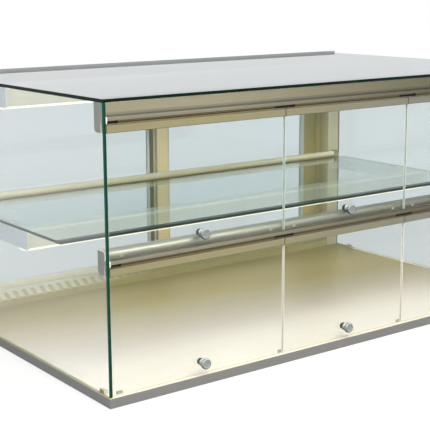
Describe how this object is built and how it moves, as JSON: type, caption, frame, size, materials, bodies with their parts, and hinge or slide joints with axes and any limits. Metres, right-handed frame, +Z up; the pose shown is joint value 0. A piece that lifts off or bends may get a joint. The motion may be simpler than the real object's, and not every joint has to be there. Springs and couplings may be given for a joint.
{
  "type": "ambient display case",
  "caption": "Counter-top glass display case with a steel base, lift-up glass flaps along the front of both tiers, a lit glass shelf and sliding glass doors at the rear.",
  "frame": {"origin": "under the middle of the part's box, on the surface that it stands on", "axes": "+X along the front towards the right-hand end, +Y from the front to the rear, +Z up"},
  "size_m": [1.2, 0.752, 0.5875],
  "materials": {
    "deck_steel": "satin",
    "base_steel": "satin",
    "aluminium": "satin anodised",
    "door_aluminium": "satin anodised",
    "bracket_steel": "satin",
    "rail_steel": "satin",
    "float_glass": "clear, green at the edges",
    "knob_chrome": "polished",
    "grey_plastic": "matt",
    "dark_plastic": "matt",
    "opal_plastic": "opal",
    "silicone": "translucent",
    "nylon": "matt",
    "board": "matt",
    "driver_case": "matt",
    "black_rubber": "matt"
  },
  "bodies": {
    "case": {"base_stiffeners": "base_steel", "base_tray": "deck_steel", "base_underplate": "base_steel", "cable_grommet": "black_rubber", "end_glass_clips": "grey_plastic", "flap_buffers": "silicone", "led_driver": "driver_case", "left_end_glass": "float_glass", "mid_front_rail": "aluminium", "mid_rail_end_caps": "grey_plastic", "rear_bottom_track": "aluminium", "rear_header": "aluminium", "rear_left_post": "aluminium", "rear_right_post": "aluminium", "rear_vent_sill": "deck_steel", "right_end_glass": "float_glass", "shelf_glass": "float_glass", "shelf_led_board": "board", "shelf_left_bracket": "bracket_steel", "shelf_light_diffuser": "opal_plastic", "shelf_light_housing": "aluminium", "shelf_pads": "silicone", "shelf_rail_sockets": "dark_plastic", "shelf_rear_rail": "rail_steel", "shelf_right_bracket": "bracket_steel", "top_front_rail": "aluminium", "top_glass": "float_glass", "top_led_board": "board", "top_left_bracket": "bracket_steel", "top_light_diffuser": "opal_plastic", "top_light_housing": "aluminium", "top_rail_end_caps": "grey_plastic", "top_right_bracket": "bracket_steel"},
    "upper_left_flap": {"upper_left_flap_clamp": "aluminium", "upper_left_flap_glass": "float_glass", "upper_left_flap_knob": "knob_chrome"},
    "upper_middle_flap": {"upper_middle_flap_clamp": "aluminium", "upper_middle_flap_glass": "float_glass", "upper_middle_flap_knob": "knob_chrome"},
    "upper_right_flap": {"upper_right_flap_clamp": "aluminium", "upper_right_flap_glass": "float_glass", "upper_right_flap_knob": "knob_chrome"},
    "lower_left_flap": {"lower_left_flap_clamp": "aluminium", "lower_left_flap_glass": "float_glass", "lower_left_flap_knob": "knob_chrome"},
    "lower_middle_flap": {"lower_middle_flap_clamp": "aluminium", "lower_middle_flap_glass": "float_glass", "lower_middle_flap_knob": "knob_chrome"},
    "lower_right_flap": {"lower_right_flap_clamp": "aluminium", "lower_right_flap_glass": "float_glass", "lower_right_flap_knob": "knob_chrome"},
    "left_door": {"left_door_frame": "door_aluminium", "left_door_glass": "float_glass", "left_door_shoes": "nylon"},
    "right_door": {"right_door_frame": "door_aluminium", "right_door_glass": "float_glass", "right_door_shoes": "nylon"}
  },
  "joints": [
    {"name": "upper_left_hinge", "type": "hinge", "parent": "case", "child": "upper_left_flap", "pos_m": [-0.38425, -0.356, 0.5409], "axis": [-1, 0, 0], "range_deg": [0, 90]},
    {"name": "upper_middle_hinge", "type": "hinge", "parent": "case", "child": "upper_middle_flap", "pos_m": [0, -0.356, 0.5409], "axis": [-1, 0, 0], "range_deg": [0, 90]},
    {"name": "upper_right_hinge", "type": "hinge", "parent": "case", "child": "upper_right_flap", "pos_m": [0.38425, -0.356, 0.5409], "axis": [-1, 0, 0], "range_deg": [0, 90]},
    {"name": "lower_left_hinge", "type": "hinge", "parent": "case", "child": "lower_left_flap", "pos_m": [-0.38425, -0.356, 0.2761], "axis": [-1, 0, 0], "range_deg": [0, 90]},
    {"name": "lower_middle_hinge", "type": "hinge", "parent": "case", "child": "lower_middle_flap", "pos_m": [0, -0.356, 0.2761], "axis": [-1, 0, 0], "range_deg": [0, 90]},
    {"name": "lower_right_hinge", "type": "hinge", "parent": "case", "child": "lower_right_flap", "pos_m": [0.38425, -0.356, 0.2761], "axis": [-1, 0, 0], "range_deg": [0, 90]},
    {"name": "left_door_slide", "type": "slide", "parent": "case", "child": "left_door", "axis": [1, 0, 0], "range_m": [0, 0.535]},
    {"name": "right_door_slide", "type": "slide", "parent": "case", "child": "right_door", "axis": [-1, 0, 0], "range_m": [0, 0.535]}
  ]
}
